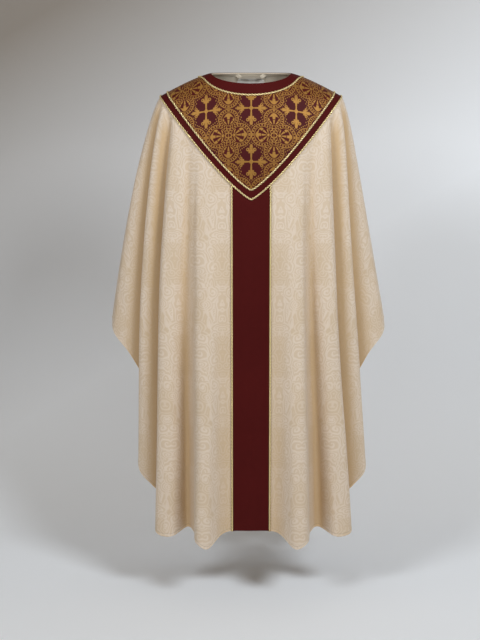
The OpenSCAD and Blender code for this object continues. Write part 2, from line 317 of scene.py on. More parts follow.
def sheet_faces(rows, cols, flip, ring=False):
    """Quads of a closed sheet over a grid: outer skin, inner skin and the walls round it. The
    inner skin's points come after the outer's. Returns point numbers and grid numbers."""
    n = rows * cols
    last = cols if ring else cols - 1
    i, j = np.meshgrid(np.arange(rows - 1), np.arange(last), indexing="ij")
    k = (j + 1) % cols
    a, b, c, d = i * cols + j, (i + 1) * cols + j, (i + 1) * cols + k, i * cols + k
    skin = np.stack([a, b, c, d], -1).reshape(-1, 4)
    parts = [skin, skin[:, ::-1] + n]
    j = np.arange(last)
    k = (j + 1) % cols
    low = (rows - 1) * cols
    parts.append(np.stack([j, k, n + k, n + j], -1))
    parts.append(np.stack([low + k, low + j, n + low + j, n + low + k], -1))
    if not ring:
        i = np.arange(rows - 1) * cols
        e = i + cols - 1
        parts.append(np.stack([i + cols, i, n + i, n + i + cols], -1))
        parts.append(np.stack([e, e + cols, n + e + cols, n + e], -1))
    quads = np.concatenate(parts)
    return quads[:, ::-1] if flip else quads


def mark_points(piece, name, values):
    """Keeps one number a point on the mesh, for the material to read."""
    layer = piece.data.attributes.new(name, "FLOAT", "POINT")
    layer.data.foreach_set("value", np.ascontiguousarray(values, np.float32))


def hollows(points, normals, reach=6, depth=0.010):
    """How far each point lies in the cloth's hollows, 0 to 1, a mask for the damask's painted
    shade: the distance out along its normal to the average of its neighbours across the cloth,
    against a full depth in metres."""
    average = points
    for _ in range(2):
        padded = np.pad(average, ((0, 0), (reach, reach), (0, 0)), mode="reflect")
        total = np.cumsum(np.pad(padded, ((0, 0), (1, 0), (0, 0))), axis=1)
        average = (total[:, 2 * reach + 1:] - total[:, :-2 * reach - 1]) / (2 * reach + 1)
    return np.clip(((average - points) * normals).sum(-1) / depth, 0, 1)


def pockets(u, r):
    """1 in the two pockets where the cloth turns under itself, fading out over a fold: a mask for
    the damask's painted shade.
    """
    out = 0.0
    for first, last in ((9.4, 10.9), (13.5, 14.9)):
        out = out + np.clip((u - first) / 0.7 + 1, 0, 1) * np.clip((last - u) / 0.6 + 1, 0, 1)
    return out * np.clip((r - V_ROW) / 0.06, 0, 1)


def sew_sheet(name, outer, inner, uv, flip, nodes, material, ring=False):
    """A closed sheet of cloth between two grids of points, with its flat pattern uv in metres."""
    rows, cols = outer.shape[:2]
    quads = sheet_faces(rows, cols, flip, ring)
    verts = np.concatenate([outer.reshape(-1, 3), inner.reshape(-1, 3)])
    pattern = np.concatenate([uv.reshape(-1, 2)] * 2)
    piece = make_piece(name, verts, quads.tolist(), pattern[quads].reshape(-1, 2),
                       nodes, material)
    return piece


def arcs(points, axis):
    """Running length of a grid of points along one axis."""
    step = np.linalg.norm(np.diff(points, axis=axis), axis=-1)
    zero = np.zeros_like(np.take(step, [0], axis))
    return np.concatenate([zero, np.cumsum(step, axis)], axis)


def strip_pattern(points):
    """Flat pattern of a strip: the length along its middle row, and the width down it."""
    along, down = arcs(points, 1), arcs(points, 0)
    middle = along[len(along) // 2]
    return np.stack([np.broadcast_to(middle - middle[len(middle) // 2], down.shape), -down], -1)


def panel_pattern(points, v_index, side):
    """Flat pattern of a half panel. The V's edge is laid out by its run and its height. From it
    each column runs straight, at an angle that adds up the extra length the hem has over the
    V, so the lengths down the folds and along the hem are the real ones."""
    down = arcs(points, 0)
    down = down - down[v_index]
    edge = points[v_index]
    run = np.concatenate([[0], np.cumsum(np.hypot(np.diff(edge[:, 0]), np.diff(edge[:, 1])))])
    start = np.stack([run, edge[:, 2]], -1)
    hem_step = np.diff(points[-1], axis=0)
    fall = unit(points[-1] - points[-4])[:-1]
    along = (hem_step * fall).sum(-1)
    hem_out = np.sqrt(np.maximum((hem_step ** 2).sum(-1) - along ** 2, 0))
    length = down[-1][:-1]
    step = np.diff(start, axis=0)
    angle = np.zeros(len(edge))
    for _ in range(30):
        mid = angle[:-1]
        v_out = step[:, 0] * np.cos(mid) + step[:, 1] * np.sin(mid)
        angle = np.concatenate([[0], np.cumsum((hem_out - v_out) / length)])
    ray = np.stack([np.sin(angle), -np.cos(angle)], -1)
    flat = start[None] + down[..., None] * ray[None]
    return flat * np.array([side, 1.0])


# ---- Shader helpers ----
def plug(tree, value, socket):
    """Feeds a socket from a Signal or from another socket, or sets it to a constant."""
    if isinstance(value, Signal):
        value = value.socket
    if isinstance(value, bpy.types.NodeSocket):
        tree.links.new(value, socket)
    else:
        socket.default_value = value


def math_node(operation):
    """A method of Signal that adds one Math node."""
    return lambda self, *others, clamp=False: self.through(operation, others, clamp)


class Signal:
    """A number that changes over the surface: one output of a shader tree, with arithmetic."""

    def __init__(self, tree, socket):
        self.tree, self.socket = tree, socket

    def through(self, operation, others, clamp):
        node = self.tree.nodes.new("ShaderNodeMath")
        node.operation, node.use_clamp = operation, clamp
        for value, socket in zip((self, *others), node.inputs):
            plug(self.tree, value, socket)
        return Signal(self.tree, node.outputs[0])

    plus = math_node("ADD")
    __add__ = __radd__ = plus
    __sub__ = math_node("SUBTRACT")
    __mul__ = __rmul__ = math_node("MULTIPLY")
    __truediv__ = math_node("DIVIDE")
    absolute = math_node("ABSOLUTE")
    sine = math_node("SINE")
    cosine = math_node("COSINE")
    root = math_node("SQRT")
    least = math_node("MINIMUM")
    most = math_node("MAXIMUM")
    angle_with = math_node("ARCTAN2")
    ping_pong = math_node("PINGPONG")
    wrap = math_node("WRAP")

    def __rsub__(self, other):
        return self * -1.0 + other

    def clamped(self):
        return self.plus(0.0, clamp=True)

    def over(self, limit, soft):
        """0 below a limit and 1 above it, with a soft step between."""
        return ((self - limit) * (1.0 / soft)).plus(0.5, clamp=True)

    def under(self, limit, soft):
        return ((self - limit) * (-1.0 / soft)).plus(0.5, clamp=True)

    def folded(self, width):
        """Distance to the nearest whole multiple of a width."""
        return self.ping_pong(width / 2)

    def centred(self, width):
        """Place within a repeat of a width, from minus half to half."""
        return self.wrap(width / 2, -width / 2)

    def band(self, middle, half, soft):
        """1 within half a width of a middle, soft at the edges."""
        return (self - middle).absolute().under(half, soft)


def length_of(a, b):
    return (a * a + b * b).root()


def new_group(name, inputs, outputs):
    """A shader node group with named sockets. Gives the tree, its input and output nodes."""
    tree = bpy.data.node_groups.new(name, "ShaderNodeTree")
    for label, kind, value in inputs:
        socket = tree.interface.new_socket(
            name=label, in_out="INPUT", socket_type=f"NodeSocket{kind}")
        if value is not None:
            socket.default_value = value
    for label in outputs:
        tree.interface.new_socket(name=label, in_out="OUTPUT", socket_type="NodeSocketFloat")
    return tree, tree.nodes.new("NodeGroupInput"), tree.nodes.new("NodeGroupOutput")


def add_group(tree, name, **values):
    """Places a shared group in a tree and gives its outputs as Signals."""
    node = tree.nodes.new("ShaderNodeGroup")
    node.node_tree = group(name)
    for label, value in values.items():
        plug(tree, value, node.inputs[label])
    return [Signal(tree, socket) for socket in node.outputs]


def split(tree, vector):
    """The three parts of a vector socket."""
    node = tree.nodes.new("ShaderNodeSeparateXYZ")
    tree.links.new(vector, node.inputs[0])
    return [Signal(tree, socket) for socket in node.outputs]


def join(tree, *parts):
    node = tree.nodes.new("ShaderNodeCombineXYZ")
    for part, socket in zip(parts, node.inputs):
        plug(tree, part, socket)
    return node.outputs[0]


def noise(tree, vector, scale, detail=2.0, rough=0.5):
    node = tree.nodes.new("ShaderNodeTexNoise")
    for label, value in (("Scale", scale), ("Detail", detail), ("Roughness", rough),
                         ("Vector", vector)):
        plug(tree, value, node.inputs[label])
    return Signal(tree, node.outputs[0])


def mix_colour(tree, factor, a, b, blend="MIX"):
    """A blend of two colours, each a constant or a socket."""
    node = tree.nodes.new("ShaderNodeMix")
    node.data_type, node.blend_type = "RGBA", blend
    for value, k in ((factor, 0), (a, 6), (b, 7)):
        plug(tree, value, node.inputs[k])
    return node.outputs[2]


def shaded(tree, tint, shade):
    """A colour made lighter or darker by a Signal."""
    grey = tree.nodes.new("ShaderNodeCombineColor")
    for socket in grey.inputs[:3]:
        plug(tree, shade, socket)
    return mix_colour(tree, 1.0, tint, grey.outputs[0], "MULTIPLY")


def solid_colour(colour, share=(1.0, 1.0, 1.0)):
    """A colour as a shader's constant, with each channel taken by its share."""
    return (*(np.array(colour[:3]) * share).tolist(), 1.0)


def uv_of(tree):
    node = tree.nodes.new("ShaderNodeUVMap")
    node.uv_map = "flat"
    return node.outputs[0]


def mark_of(tree, name):
    """The number that a mesh keeps at its points under this name."""
    node = tree.nodes.new("ShaderNodeAttribute")
    node.attribute_name = name
    return Signal(tree, node.outputs["Fac"])


def object_of(tree):
    return tree.nodes.new("ShaderNodeTexCoord").outputs["Object"]


def new_material(name, **values):
    """A material with one Principled shader, whose constants are set on its own sockets."""
    material = bpy.data.materials.new(name)
    material.use_nodes = True
    tree = material.node_tree
    shader = next(n for n in tree.nodes if n.type == "BSDF_PRINCIPLED")
    for label, value in values.items():
        shader.inputs[label.replace("_", " ")].default_value = value
    return material, tree, shader


def bump(tree, shader, height, distance):
    """Turns a height into the shader's normal."""
    node = tree.nodes.new("ShaderNodeBump")
    plug(tree, distance, node.inputs["Distance"])
    plug(tree, 1.0, node.inputs["Strength"])
    plug(tree, height, node.inputs["Height"])
    tree.links.new(node.outputs[0], shader.inputs["Normal"])


# ---- Node groups shared by the materials ----
def weave_group():
    """Plain or twill weave: crossing threads as products of sines of the two directions."""
    tree, source, sink = new_group(
        "weave", [("Place", "Vector", None), ("Thread", "Float", 0.0006), ("Slant", "Float", 0.0)],
        ["Height", "Gap"])
    x, y, _ = split(tree, source.outputs[0])
    thread, slant = (Signal(tree, source.outputs[k]) for k in (1, 2))
    a = ((x / thread) * (2 * math.pi) * 0.5).sine()
    b = (((y + x * slant) / thread) * (2 * math.pi) * 0.5).sine()
    over = (a * b).over(0.0, 0.6)
    height = a.absolute() * over + b.absolute() * (1.0 - over)
    plug(tree, height, sink.inputs[0])
    plug(tree, height.under(0.45, 0.5), sink.inputs[1])
    return tree


def wear_group():
    """Slow colour variation of dyed cloth, from two sizes of noise on the object's place."""
    tree, source, sink = new_group(
        "dye variation", [("Place", "Vector", None), ("Amount", "Float", 0.1)], ["Shade"])
    broad = noise(tree, source.outputs[0], 5.0, 3.0)
    fine = noise(tree, source.outputs[0], 60.0)
    shade = ((broad - 0.5) * 1.4 + (fine - 0.5) * 0.6) * Signal(tree, source.outputs[1])
    plug(tree, 1.0 + shade, sink.inputs[0])
    return tree


# The damask's repeat, the step between the lines of a curl, the width of a curl, and the leaves
DAMASK_W, DAMASK_H = 0.165, 0.26
LINE_STEP = 0.0092
CURL_W = 0.036
LEAF_REACH, LEAF_SWELL, LEAF_LOBES, LEAF_SLIM = 0.034, 0.012, 7, 0.7


def leaf_distance(x, y):
    """Distance in metres out from a tall leafy outline: a radius that swells in cusped lobes,
    by the absolute cosine of the angle from upright."""
    tall = y * LEAF_SLIM
    lobe = (x.angle_with(tall) * (LEAF_LOBES / 2)).cosine().absolute()
    return length_of(x, tall) - lobe * LEAF_SWELL - LEAF_REACH


def damask_group():
    """The figure of the damask: tall lobed leaves, set half a repeat apart, filled with curls.
    Each curl is a spiral line, whose phase adds the distance from the nearest of scattered
    centres to the angle round it. The centres are mirrored across and repeat down, because the
    place is wrapped round a cylinder, and a noise bends the lines."""
    tree, source, sink = new_group(
        "damask figure", [("Place", "Vector", None)], ["Line", "Motif"])
    x, y, _ = split(tree, source.outputs[0])
    fold = x.folded(DAMASK_W)
    turn = 2 * math.pi / DAMASK_H
    radius = DAMASK_H / (2 * math.pi)
    cos_y, sin_y = (y * turn).cosine(), (y * turn).sine()
    place = join(tree, fold, cos_y * radius, sin_y * radius)
    bend = noise(tree, place, 30.0, 1.5, 0.45) - 0.5
    cells = tree.nodes.new("ShaderNodeTexVoronoi")
    for label, value in (("Scale", 1 / CURL_W), ("Randomness", 0.75), ("Vector", place)):
        plug(tree, value, cells.inputs[label])
    near = split(tree, cells.outputs["Position"])
    out = fold - near[0]
    up = near[1] * sin_y - near[2] * cos_y
    reach = length_of(out, up)
    curl = (reach + bend * 0.034) * (2 * math.pi / LINE_STEP) + up.angle_with(out)
    leaf = leaf_distance(fold, y.centred(DAMASK_H)).least(
        leaf_distance(DAMASK_W / 2 - fold, (y + DAMASK_H / 2).centred(DAMASK_H)))
    body = (leaf + bend * 0.07).under(0.009, 0.022)
    rim = (leaf + bend * 0.06).band(0.011, 0.0016, 0.002)
    line = curl.sine().over(0.1 + bend * 1.2, 0.9).most(rim) * (body * 0.35 + 0.65)
    plug(tree, line, sink.inputs[0])
    plug(tree, body, sink.inputs[1])
    return tree


# The brocade's repeat, and in millimetres the centres and radii of the rings' lobes
CROSS_W, CROSS_H = 0.126, 0.150
SIDE_LOBE, SIDE_R = 31.0, 33.0
TOP_LOBE, TOP_R = 46.0, 29.0
SOFT = 1.2


def cross_figure(x0, y0):
    """One arm of a cross with flowered ends, folded from the whole: a runs out along the arm
    and b across it, both in millimetres."""
    x = x0.centred(1.0).absolute() * (CROSS_W / MM)
    y = y0.centred(1.0).absolute() * (CROSS_H / MM)
    upright = (y - x).over(0.0, 0.01)
    a = y * upright + (x * 1.17) * (1.0 - upright)
    b = x * upright + y * (1.0 - upright)
    shaft = (b - a * 0.06).under(1.3, SOFT) * a.under(36.0, SOFT)
    foot = (b + a * 0.9).under(7.5, SOFT)
    petal = length_of((a - 40.0) / 9.0, b / 4.6).under(1.0, 0.25)
    curl = length_of(a - 33.5, b - 9.3).under(4.9, SOFT)
    stalk = a.band(25.0, 1.6, SOFT) * b.under(7.5, SOFT)
    wing = length_of(a - 29.5, b - 5.0).under(3.6, SOFT)
    cross = shaft.most(foot).most(petal).most(curl).most(stalk).most(wing)
    return cross * (1.0 - length_of(a - 33.8, b - 10.2).under(1.6, SOFT))


def brocade_group():
    """The figure of the brocade, from signed distances: crosses with flowered ends on a
    lattice, and rings of four lobes with dashes and leaves between them."""
    tree, source, sink = new_group("brocade figure", [
        ("Place", "Vector", None), ("Width", "Float", CROSS_W), ("Height", "Float", CROSS_H)],
        ["Gold", "Dark"])
    x0, y0, _ = split(tree, source.outputs[0])
    x0, y0 = x0 / Signal(tree, source.outputs[1]), y0 / Signal(tree, source.outputs[2])
    cross = cross_figure(x0, y0)

    # Rings of four lobes on the half places, folded to one quarter
    x = (x0 + 0.5).centred(1.0).absolute() * (CROSS_W / MM)
    y = (y0 + 0.5).centred(1.0).absolute() * (CROSS_H / MM)
    side_lobe = length_of(x - SIDE_LOBE, y) - SIDE_R
    top_lobe = length_of(x, y - TOP_LOBE) - TOP_R
    edge = side_lobe.least(top_lobe)
    ring = edge.band(-1.6, 1.1, SOFT).most(edge.band(-9.6, 0.8, SOFT))
    near_side = (top_lobe - side_lobe).over(0.0, 0.5)
    near_top = 1.0 - near_side
    turn = y.angle_with(x - SIDE_LOBE) * near_side + x.angle_with(y - TOP_LOBE) * near_top
    dash = (turn * 22.0).sine().over(0.1, 0.6) * edge.band(-5.6, 1.9, SOFT)

    # A fan of leaves in each lobe, spread from its inner side, and a diamond in the middle
    root_x = (x - 15.0) * near_side + (y - 24.0) * near_top
    root_y = y * near_side + x * near_top
    reach, fan = length_of(root_x, root_y), root_y.angle_with(root_x)
    petals = (fan * 9.0).cosine()
    slot = petals.under(0.15, 0.8) * reach.band(18.0, 11.0, SOFT)
    leaf = (edge - petals * 1.6).under(-14.0, SOFT) * (1.0 - slot)
    leaf = leaf * (1.0 - reach.band(5.4, 1.0, SOFT)) * (1.0 - reach.band(20.0, 0.9, SOFT))
    diamond = x + y * 0.8
    heart = diamond.band(9.5, 1.5, SOFT).most(diamond.under(4.0, SOFT))
    leaves = (leaf * edge.under(-12.0, SOFT)).most(heart * edge.under(-6.0, SOFT))
    lobes = ring.most(dash).most(leaves)

    # Small curls that fill the ground between a cross and the rings
    ground = edge.over(1.5, SOFT) * edge.under(7.5, SOFT)
    spray = ((x * 0.75 + y * 0.2).sine() * (y * 0.6 - x * 0.2).cosine()).over(0.35, 0.4)
    clear = 1.0 - cross
    plug(tree, cross.most(lobes * clear).most(spray * ground * clear * 0.85), sink.inputs[0])
    plug(tree, edge.over(0.5, 2.0), sink.inputs[1])
    return tree


GROUPS = {}


def group(name):
    """A shared node group, built the first time it is asked for."""
    makers = {"weave": weave_group, "wear": wear_group, "damask": damask_group,
              "brocade": brocade_group}
    if name not in GROUPS:
        GROUPS[name] = makers[name]()
    return GROUPS[name]


# ---- Materials ----
FIGURE_SHARE = (0.80, 0.71, 0.53)
# Colour of the painted shade in the hollows and pockets of the damask's folds
HOLLOW_SHADE_TINT = (0.58, 0.395, 0.205, 1.0)
LABEL_WHITE = (0.86, 0.84, 0.78)


def damask_material():
    """Ivory damask: light raised lines on a ground that is a little more yellow, with painted
    tan shade in the hollows of the folds. The hem's rolled edge has a painted highlight and a
    line of stitches."""
    ivory = settings().ivory
    material, tree, shader = new_material(
        "ivory damask", Specular_IOR_Level=0.42, Sheen_Weight=0.22, Sheen_Roughness=0.42)
    uv = uv_of(tree)
    line, motif = add_group(tree, "damask", Place=uv)
    thread, gap = add_group(tree, "weave", Place=uv, Thread=0.0007)
    (wear,) = add_group(tree, "wear", Place=object_of(tree), Amount=0.05)
    hem = mark_of(tree, "hem")
    # Painted highlight: lighter within about 4 mm of the hem's rolled edge; also the dye variation,
    # darker weave gaps and a darker line of stitches 7.5 mm up
    shade = (wear - gap * 0.03 + hem.under(0.0042, 0.003) * 0.12
             - hem.band(0.0075, 0.0006, 0.0008) * 0.2)
    tint = mix_colour(tree, 0.6 - motif * 0.14 - line * 0.58, solid_colour(ivory),
                      solid_colour(ivory, FIGURE_SHARE))
    # Painted shade: the colour turns tan in the hollows and pockets of the folds
    tint = mix_colour(tree, mark_of(tree, "hollow") * 0.85, tint, HOLLOW_SHADE_TINT)
    plug(tree, shaded(tree, tint, shade), shader.inputs["Base Color"])
    plug(tree, 0.42 + line * 0.2 + motif * 0.06, shader.inputs["Roughness"])
    bump(tree, shader, thread * 0.35 + line * 0.9, 0.00016)
    return material


def brocade_material():
    """Gold thread woven on wine satin, raised a little where the gold floats over it."""
    s = settings()
    material, tree, shader = new_material("gold brocade", Specular_IOR_Level=0.12)
    uv = uv_of(tree)
    gold, dark = add_group(tree, "brocade", Place=uv)
    height, gap = add_group(tree, "weave", Place=uv, Thread=0.0009, Slant=0.5)
    (wear,) = add_group(tree, "wear", Place=object_of(tree), Amount=0.25)
    ground = mix_colour(tree, dark, solid_colour(s.satin), solid_colour(s.satin, (0.9, 0.9, 1.15)))
    tint = mix_colour(tree, gold * (1.0 - gap * 0.25), ground, solid_colour(s.brocade_gold))
    plug(tree, shaded(tree, tint, wear), shader.inputs["Base Color"])
    plug(tree, gold * 0.35, shader.inputs["Metallic"])
    plug(tree, 0.55 - gold * 0.1, shader.inputs["Roughness"])
    bump(tree, shader, height * 0.4 + gold * 1.2, 0.0002)
    return material


def cord_material():
    """Gold gimp cord: metallic thread, its full colour on the turns of the twist and darkened
    between them by painted shade in the grooves.
    """
    gold = settings().cord_gold
    material, tree, shader = new_material("gold cord", Specular_IOR_Level=0.6)
    x, y, _ = split(tree, uv_of(tree))
    crown = mark_of(tree, "turn")
    # Painted shade: the base colour darkens in the grooves between the turns of the twist
    plug(tree, mix_colour(tree, crown.over(-0.25, 1.0), solid_colour(gold, (0.24, 0.15, 0.06)),
                          solid_colour(gold)), shader.inputs["Base Color"])
    plug(tree, 0.24 + crown.under(0.0, 1.0) * 0.25, shader.inputs["Roughness"])
    plug(tree, 0.22 + crown.over(0.0, 1.4) * 0.25, shader.inputs["Metallic"])
    bump(tree, shader, (x * 6000.0 + y * 7.0).sine(), 0.00008)
    return material


def woven_material(name, colour, thread, slant, wear, dark, rough, relief, **values):
    """Cloth of one colour. It takes how much the dye varies, how much darker the gaps between
    the threads are, the roughness of the threads, and how high they stand in metres."""
    material, tree, shader = new_material(name, **values)
    height, gap = add_group(tree, "weave", Place=uv_of(tree), Thread=thread, Slant=slant)
    (shade,) = add_group(tree, "wear", Place=object_of(tree), Amount=wear)
    plug(tree, shaded(tree, solid_colour(colour), shade - gap * dark), shader.inputs["Base Color"])
    plug(tree, rough + gap * 0.12, shader.inputs["Roughness"])
    bump(tree, shader, height, relief)
    return material


def satin_material():
    """Wine satin: a tight twill with hardly any shine."""
    return woven_material("wine satin", settings().satin, 0.0005, 0.35, 0.22, 0.12, 0.6, 0.00008,
                          Specular_IOR_Level=0.06, Roughness=0.6)


def plain_material(name, colour, thread, slant=0.0):
    """Plain woven cotton, for the linings and tapes."""
    return woven_material(name, colour, thread, slant, 0.08, 0.15, 0.72, 0.00015,
                          Specular_IOR_Level=0.3, Sheen_Weight=0.15, Sheen_Roughness=0.5)


MATERIALS = {}


def finish_of(name):
    """A material of the garment, made the first time it is asked for."""
    lining = settings().lining
    makers = {
        "damask": damask_material,
        "brocade": brocade_material,
        "satin": satin_material,
        "cord": cord_material,
        "interfacing": lambda: plain_material("canvas interfacing", lining, 0.0011),
        "facing": lambda: plain_material("cotton facing", lining, 0.0006),
        "tape": lambda: plain_material("twill tape", lining, 0.0008, 1.0),
        "label": lambda: plain_material("label satin", LABEL_WHITE, 0.0004),
    }
    if name not in MATERIALS:
        MATERIALS[name] = makers[name]()
    return MATERIALS[name]


# ---- Pieces ----
PANEL_COLUMNS = 205
FALL_STEPS = 142
FALL = GARMENT_LENGTH - YOKE_DROP
HEM_START = 1.5
HEM_SEAM = (HEM_W + 0.4, HEM_W - 0.4, HEM_W / 2, 2.2)
HEM_ROUND = (1.2, 0.8, 0.4, 0.12, 0.0)
HEM_ROLL = 0.6


def turned_in(face, side):
    """True where the grid's own order would face the cloth inwards."""
    return (face == BACK) != (side == RIGHT)


def build_panel(face, side):
    """Half of the front or the back, in damask, with its hem turned up inside and rounded."""
    name = f"{FACE_NAME[face]}_{SIDE_NAME[side]}"
    u = even_columns(0, SEAM, PANEL_COLUMNS)
    rows = np.concatenate([
        np.linspace(0, 1, 6)[:-1], np.linspace(1, 2, 24)[:-1], np.linspace(2, 3, 5)[:-1],
        V_ROW + np.linspace(0, 1 - (HEM_W + HEM_START) / FALL, FALL_STEPS),
        HEM_ROW - np.array(HEM_SEAM + HEM_ROUND) / FALL])
    left = (HEM_ROW - rows) * FALL
    bend = 1 - np.sqrt(1 - (1 - np.clip(left / HEM_ROUND[0], 0, 1)) ** 2)
    roll = HEM_ROLL * np.sin(np.pi * np.clip(left / HEM_W, 0, 1))
    top = roll - DAMASK_T * bend
    low = np.where(left > HEM_W, -DAMASK_T, -2 * DAMASK_T) + DAMASK_T * bend
    grid_u, grid_r = np.meshgrid(u, rows)
    outer = cloth(face, side, grid_u, grid_r, top[:, None])
    inner = cloth(face, side, grid_u, grid_r, low[:, None])
    v_index = int(np.argmin(np.abs(rows - V_ROW)))
    uv = panel_pattern(outer, v_index, side)
    piece = sew_sheet(
        f"damask_{name}", outer, inner, uv, turned_in(face, side),
        [f"{FACE_NAME[face]}_panel_{SIDE_NAME[side]}"], finish_of("damask"))
    mark_points(piece, "hem", np.tile(np.repeat(left * MM, len(u)), 2))
    # Where the folds dip and turn under, kept as a mask for the damask's painted shade
    hollow = hollows(outer, body_normal(face, side, grid_u, grid_r))
    hollow = np.maximum(hollow, pockets(grid_u, grid_r)).ravel()
    mark_points(piece, "hollow", np.tile(hollow, 2))


def build_layer(name, node, face, rows, cols, low, high, material,
                pattern=strip_pattern):
    """A sheet over signed columns and rows of the front or the back, between two heights."""
    v, r = np.meshgrid(cols, rows)
    outer = signed_cloth(face, v, r, high)
    inner = signed_cloth(face, v, r, low)
    return sew_sheet(name, outer, inner, pattern(outer), face == BACK, [node],
                     finish_of(material))


BROCADE_ORIGIN_Z = -90.0
BROCADE_SAG = 10.8 / 126.0 ** 2
ARC_STEPS = 24


def body_pattern(points):
    """Flat pattern of the yoke: the length round the body's ellipse from the middle, and the
    length down its profile, so the figure stands upright and keeps its size. It sags by the
    square of the length round."""
    x, y, z = (points[..., k] / MM for k in range(3))
    share = (np.arange(ARC_STEPS) + 0.5) / ARC_STEPS
    a = half_width(z)
    turn = np.arcsin(np.clip(x / a, -1, 1))
    b = half_depth(np.where(y.mean() < 0, FRONT, BACK), z)
    around = sum(np.hypot(a * np.cos(turn * s), b * np.sin(turn * s))
                 for s in share) * turn / ARC_STEPS
    heights = np.linspace(-420, 20, 2000)
    depth = half_depth(FRONT, heights)
    drop = np.concatenate([[0], np.cumsum(np.hypot(np.diff(heights), np.diff(depth)))])
    down = np.interp(z, heights, drop) - np.interp(BROCADE_ORIGIN_Z, heights, drop)
    return MM * np.stack([around, down + BROCADE_SAG * around ** 2], -1)


def build_yoke(face):
    """The yoke of one face: canvas interfacing, brocade, neck band and the two arms of the V."""
    side = FACE_NAME[face]
    cols = signed_columns(SEAM, 66)
    yoke = np.concatenate([np.linspace(0, 1, 8)[:-1], np.linspace(1, 2, 34)[:-1],
                           np.linspace(2, 3, 7)])
    build_layer(f"canvas_{side}", f"yoke_interfacing_{side}", face, yoke, cols, BACKING_Z,
                BACKING_Z + BACKING_T, "interfacing", pattern=body_pattern)
    build_layer(f"brocade_{side}", f"yoke_brocade_{side}", face, np.linspace(1, 2, 46), cols,
                TRIM_Z, TRIM_Z + TRIM_T, "brocade", pattern=body_pattern)
    build_layer(f"satin_band_{side}", f"neck_band_{side}", face, np.linspace(0, 1, 10), cols,
                TRIM_Z, TRIM_Z + TRIM_T, "satin")
    for s in (LEFT, RIGHT):
        half = cols[cols >= 0] if s == LEFT else cols[cols <= 0]
        build_layer(f"satin_arm_{side}_{SIDE_NAME[s]}", f"v_border_{side}_{SIDE_NAME[s]}", face,
                    np.linspace(2, 3, 8), half, TRIM_Z, TRIM_Z + TRIM_T, "satin")


def build_orphrey(face):
    """The straight satin strip down the middle of one face, over its canvas interfacing."""
    side = FACE_NAME[face]
    edge = 1 + BRAID_W / (FOLDS[2][1] * WING_OUT)
    cols = np.linspace(-edge, edge, 27)
    long_rows = np.linspace(V_ROW, HEM_ROW - HEM_W / FALL, 110)
    build_layer(f"canvas_strip_{side}", f"orphrey_interfacing_{side}", face, long_rows, cols,
                BACKING_Z, BACKING_Z + BACKING_T, "interfacing")
    rows = np.concatenate([long_rows, [HEM_ROW - 0.5 * HEM_W / FALL, HEM_ROW]])
    build_layer(f"satin_orphrey_{side}", f"orphrey_{side}", face, rows, cols, TRIM_Z,
                TRIM_Z + TRIM_T, "satin")


SEAM_TAPE_END = 10.0
LOOP_COL, LOOP_BEND = 2.0, 0.94


def build_linings():
    """The neck facings, the tape round the neck, the side seam tapes, the label and the loop."""
    cols = signed_columns(SEAM, 46)
    for face in (FRONT, BACK):
        side = FACE_NAME[face]
        build_layer(f"lining_{side}", f"neck_facing_{side}", face, np.linspace(0, 1, 8), cols,
                    FACING_Z - BACKING_T, FACING_Z, "facing")
    rows = np.linspace(0, TAPE_W / BAND_W, 4)
    grids = []
    for h in (TAPE_Z, TAPE_Z - BACKING_T):
        front = signed_cloth(FRONT, cols[None, :], rows[:, None], h)
        back = signed_cloth(BACK, cols[None, -2:0:-1], rows[:, None], h)
        grids.append(np.concatenate([front, back], 1))
    along = arcs(grids[0], 1)
    uv = np.stack([np.broadcast_to(along[0], along.shape), -arcs(grids[0], 0)], -1)
    sew_sheet("twill_ring", grids[0], grids[1], uv, False, ["neck_tape"],
              finish_of("tape"), ring=True)
    for s in (LEFT, RIGHT):
        side = SIDE_NAME[s]
        rows = np.linspace(1, HEM_ROW - SEAM_TAPE_END / FALL, 150)
        steps = [(FRONT, SEAM - 1.0), (FRONT, SEAM - 0.5), (FRONT, SEAM), (BACK, SEAM - 0.5),
                 (BACK, SEAM - 1.0)]
        grids = [np.stack([cloth(f, s, np.full_like(rows, u), rows, h) for f, u in steps], 1)
                 for h in (FACING_Z, FACING_Z - BACKING_T)]
        sew_sheet(f"twill_seam_{side}", grids[0], grids[1], strip_pattern(grids[0]), s == RIGHT,
                  [f"side_seam_tape_{side}"], finish_of("tape"))
    label = signed_columns(ORPHREY_COL + 0.06, 12)
    build_layer("label_cloth", "blank_label", BACK,
                np.linspace(TAPE_W / BAND_W, 1 - BRAID_W / BAND_W, 8), label,
                TAPE_Z - BACKING_T, TAPE_Z, "label")
    loop = np.linspace(-LOOP_COL, LOOP_COL, 41)
    share = np.clip((LOOP_COL - np.abs(loop)) / LOOP_BEND, 0, 1)
    sag = LOOP_RISE * share * share * (3 - 2 * share)
    rows = np.linspace(0, TAPE_W / BAND_W, 5)
    v, r = np.meshgrid(loop, rows)
    outer = signed_cloth(BACK, v, r, (LOOP_Z - sag)[None, :])
    inner = signed_cloth(BACK, v, r, (LOOP_Z - BACKING_T - sag)[None, :])
    sew_sheet("twill_loop", outer, inner, strip_pattern(outer), True,
              ["hanging_loop"], finish_of("tape"))


CORD_RING = 14
CORD_STEPS = 11
CORD_SWELL = 0.24
CORD_ROUND = 0.84
CORD_FLAT = 0.62


